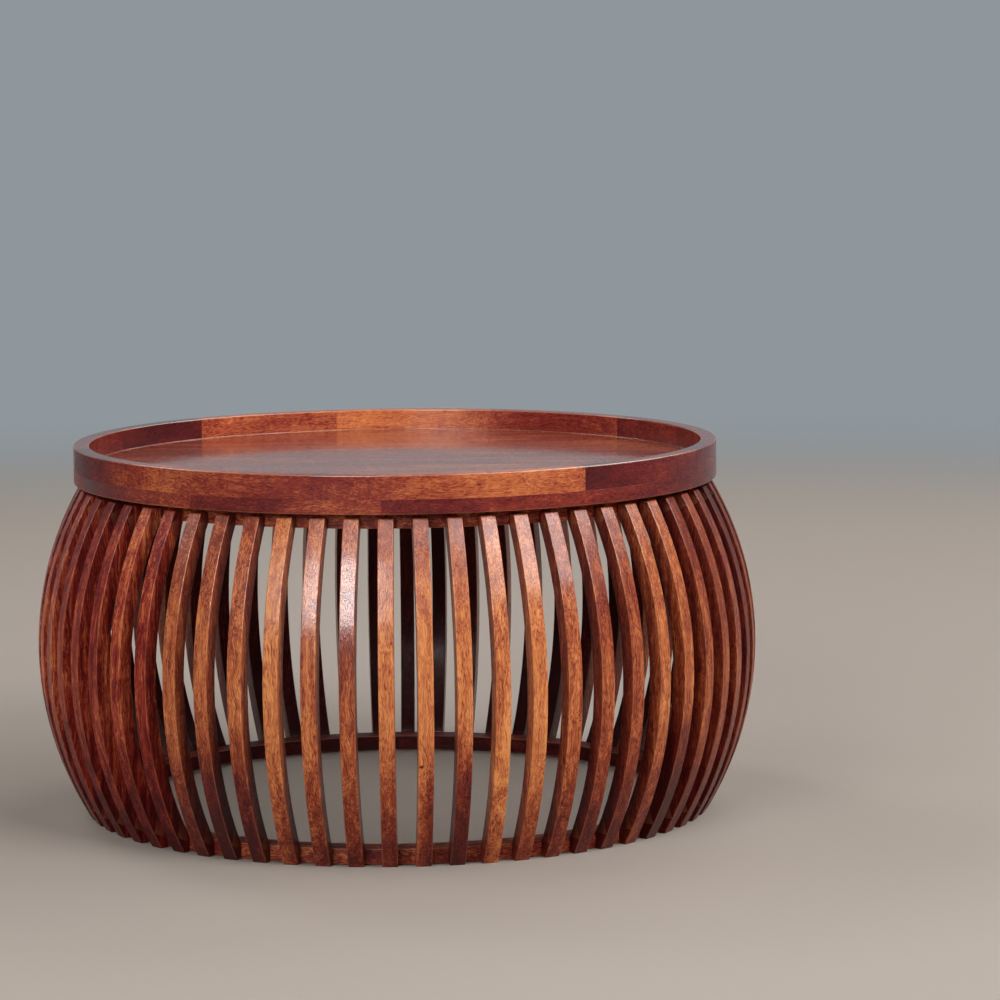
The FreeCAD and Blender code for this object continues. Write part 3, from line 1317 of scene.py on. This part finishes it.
def main() -> None:
    """Build the table piece by piece, then the studio round it."""
    slat_wood = StainedMango(
        "lacquered_mango_slats",
        roughness=0.42,
        coat=0.45,
        coat_roughness=0.12,
        pore=Grain(0.9, 9.0, 0.22),
        fibre=Grain(0.9, 8.0, 0.16),
        line=Grain(1.5, 120.0, 0.19),
        cloud=Grain(15.0, 75.0, 0.12),
        ripple=Grain(26.0, 5.0, 0.12),
        wear_and_glint=0.25,
    )
    red_slat_wood = replace(
        slat_wood,
        name="lacquered_red_mango_slats",
        dark="#601415",
        middle="#86291E",
        light="#B05033",
        palest="#D98048",
    )
    rim_wood = StainedMango(
        "lacquered_mango_rim",
        roughness=0.40,
        coat=0.75,
        coat_roughness=0.12,
        pore=Grain(1.2, 6.0, 0.15),
        fibre=Grain(1.1, 6.0, 0.15),
        line=Grain(1.8, 120.0, 0.12),
        band=Grain(6.0, 240.0, 0.08),
        cloud=Grain(24.0, 120.0, 0.12),
        ripple=Grain(26.0, 12.0, 0.28),
        relief=0.3,
        wear_and_glint=0.35,
        dark="#601415",
        middle="#862F20",
        light="#BB6439",
        palest="#DA864D",
    )
    panel_wood = StainedMango(
        "lacquered_mango_panel",
        roughness=0.38,
        coat=0.9,
        coat_roughness=0.08,
        fibre=Grain(1.3, 4.5, 0.10),
        cloud=Grain(40.0, 200.0, 0.20),
        relief=0.08,
    )
    hoop_wood = StainedMango(
        "lacquered_mango_hoops", 0.6, 0.08, 0.3, dark="#601415", middle="#862F20"
    )

    slats = SlatRing(SLAT_TONES, SLAT_HEADS, SLAT_SLANTS, SLAT_LACQUERS, SLAT_KNOTS)
    made = slats.build(slat_wood, red_slat_wood)
    for course, low, top, joints, tones, rounding, thinly_sprayed, seed in (
        ("upper", RIM_SEAM, RIM_TOP, UPPER_JOINTS, UPPER_TONES, upper_rounding, 7, 200),
        ("lower", RIM_UNDERSIDE, RIM_SEAM, LOWER_JOINTS, LOWER_TONES, lower_rounding, 6, 300),
    ):
        name, node = f"{course}_rim_block_{{:02d}}", f"rim_{course}_{{:02d}}"
        section = RingSection(RIM_INNER, RIM_OUTER, low, top)
        ring = BlockRing(name, node, Slot.RIM, section, joints, tones, rounding, seed)
        made += replace(ring, lacquer=0.6, thinly_sprayed=thinly_sprayed).build(rim_wood)
    for node, top, hoop_tones_and_light, seed in (
        ("upper_hoop", RIM_UNDERSIDE, UPPER_HOOP_TONES_AND_LIGHT, 400),
        ("bottom_hoop", FLOOR_GAP + HOOP_HEIGHT, BOTTOM_HOOP_TONES_AND_LIGHT, 500),
    ):
        name, rounding = node + "_block_{}", even_rounding(0.8 * MM)
        section = RingSection(HOOP_INNER, HOOP_OUTER, top - HOOP_HEIGHT, top)
        tones, joints = tuple(map(flat, hoop_tones_and_light)), even_joints(len(hoop_tones_and_light))
        ring = BlockRing(name, node, Slot.HOOP, section, joints, tones, rounding, seed)
        # The hoops' inner faces get painted shade.
        made += replace(ring, inner_painted_shade=0.25).build(hoop_wood)
    made += TrayPanel().build(panel_wood)
    # The glue and lacquer that fill the corner between the panel and the rim catch the light,
    # partly as painted highlight.
    made += BlockRing(
        "tray_bead_{}",
        "tray_panel",
        Slot.PANEL,
        RingSection(RIM_INNER - 0.9 * MM, RIM_INNER, 376.7 * MM, 377.6 * MM),
        even_joints(len(BEAD_TONES_AND_HIGHLIGHT)),
        tuple(map(flat, BEAD_TONES_AND_HIGHLIGHT)),
        even_rounding(0.4 * MM),
        seed=700,
    ).build(panel_wood)
    made += TrayScrews().build(ZincSteel())
    for piece in made:
        log.info("%s: %d faces", piece.name, len(piece.data.polygons))

    Studio().build(StudioPaper())


if __name__ == "__main__":
    logging.basicConfig(level=logging.INFO, format="%(name)s %(message)s")
    main()
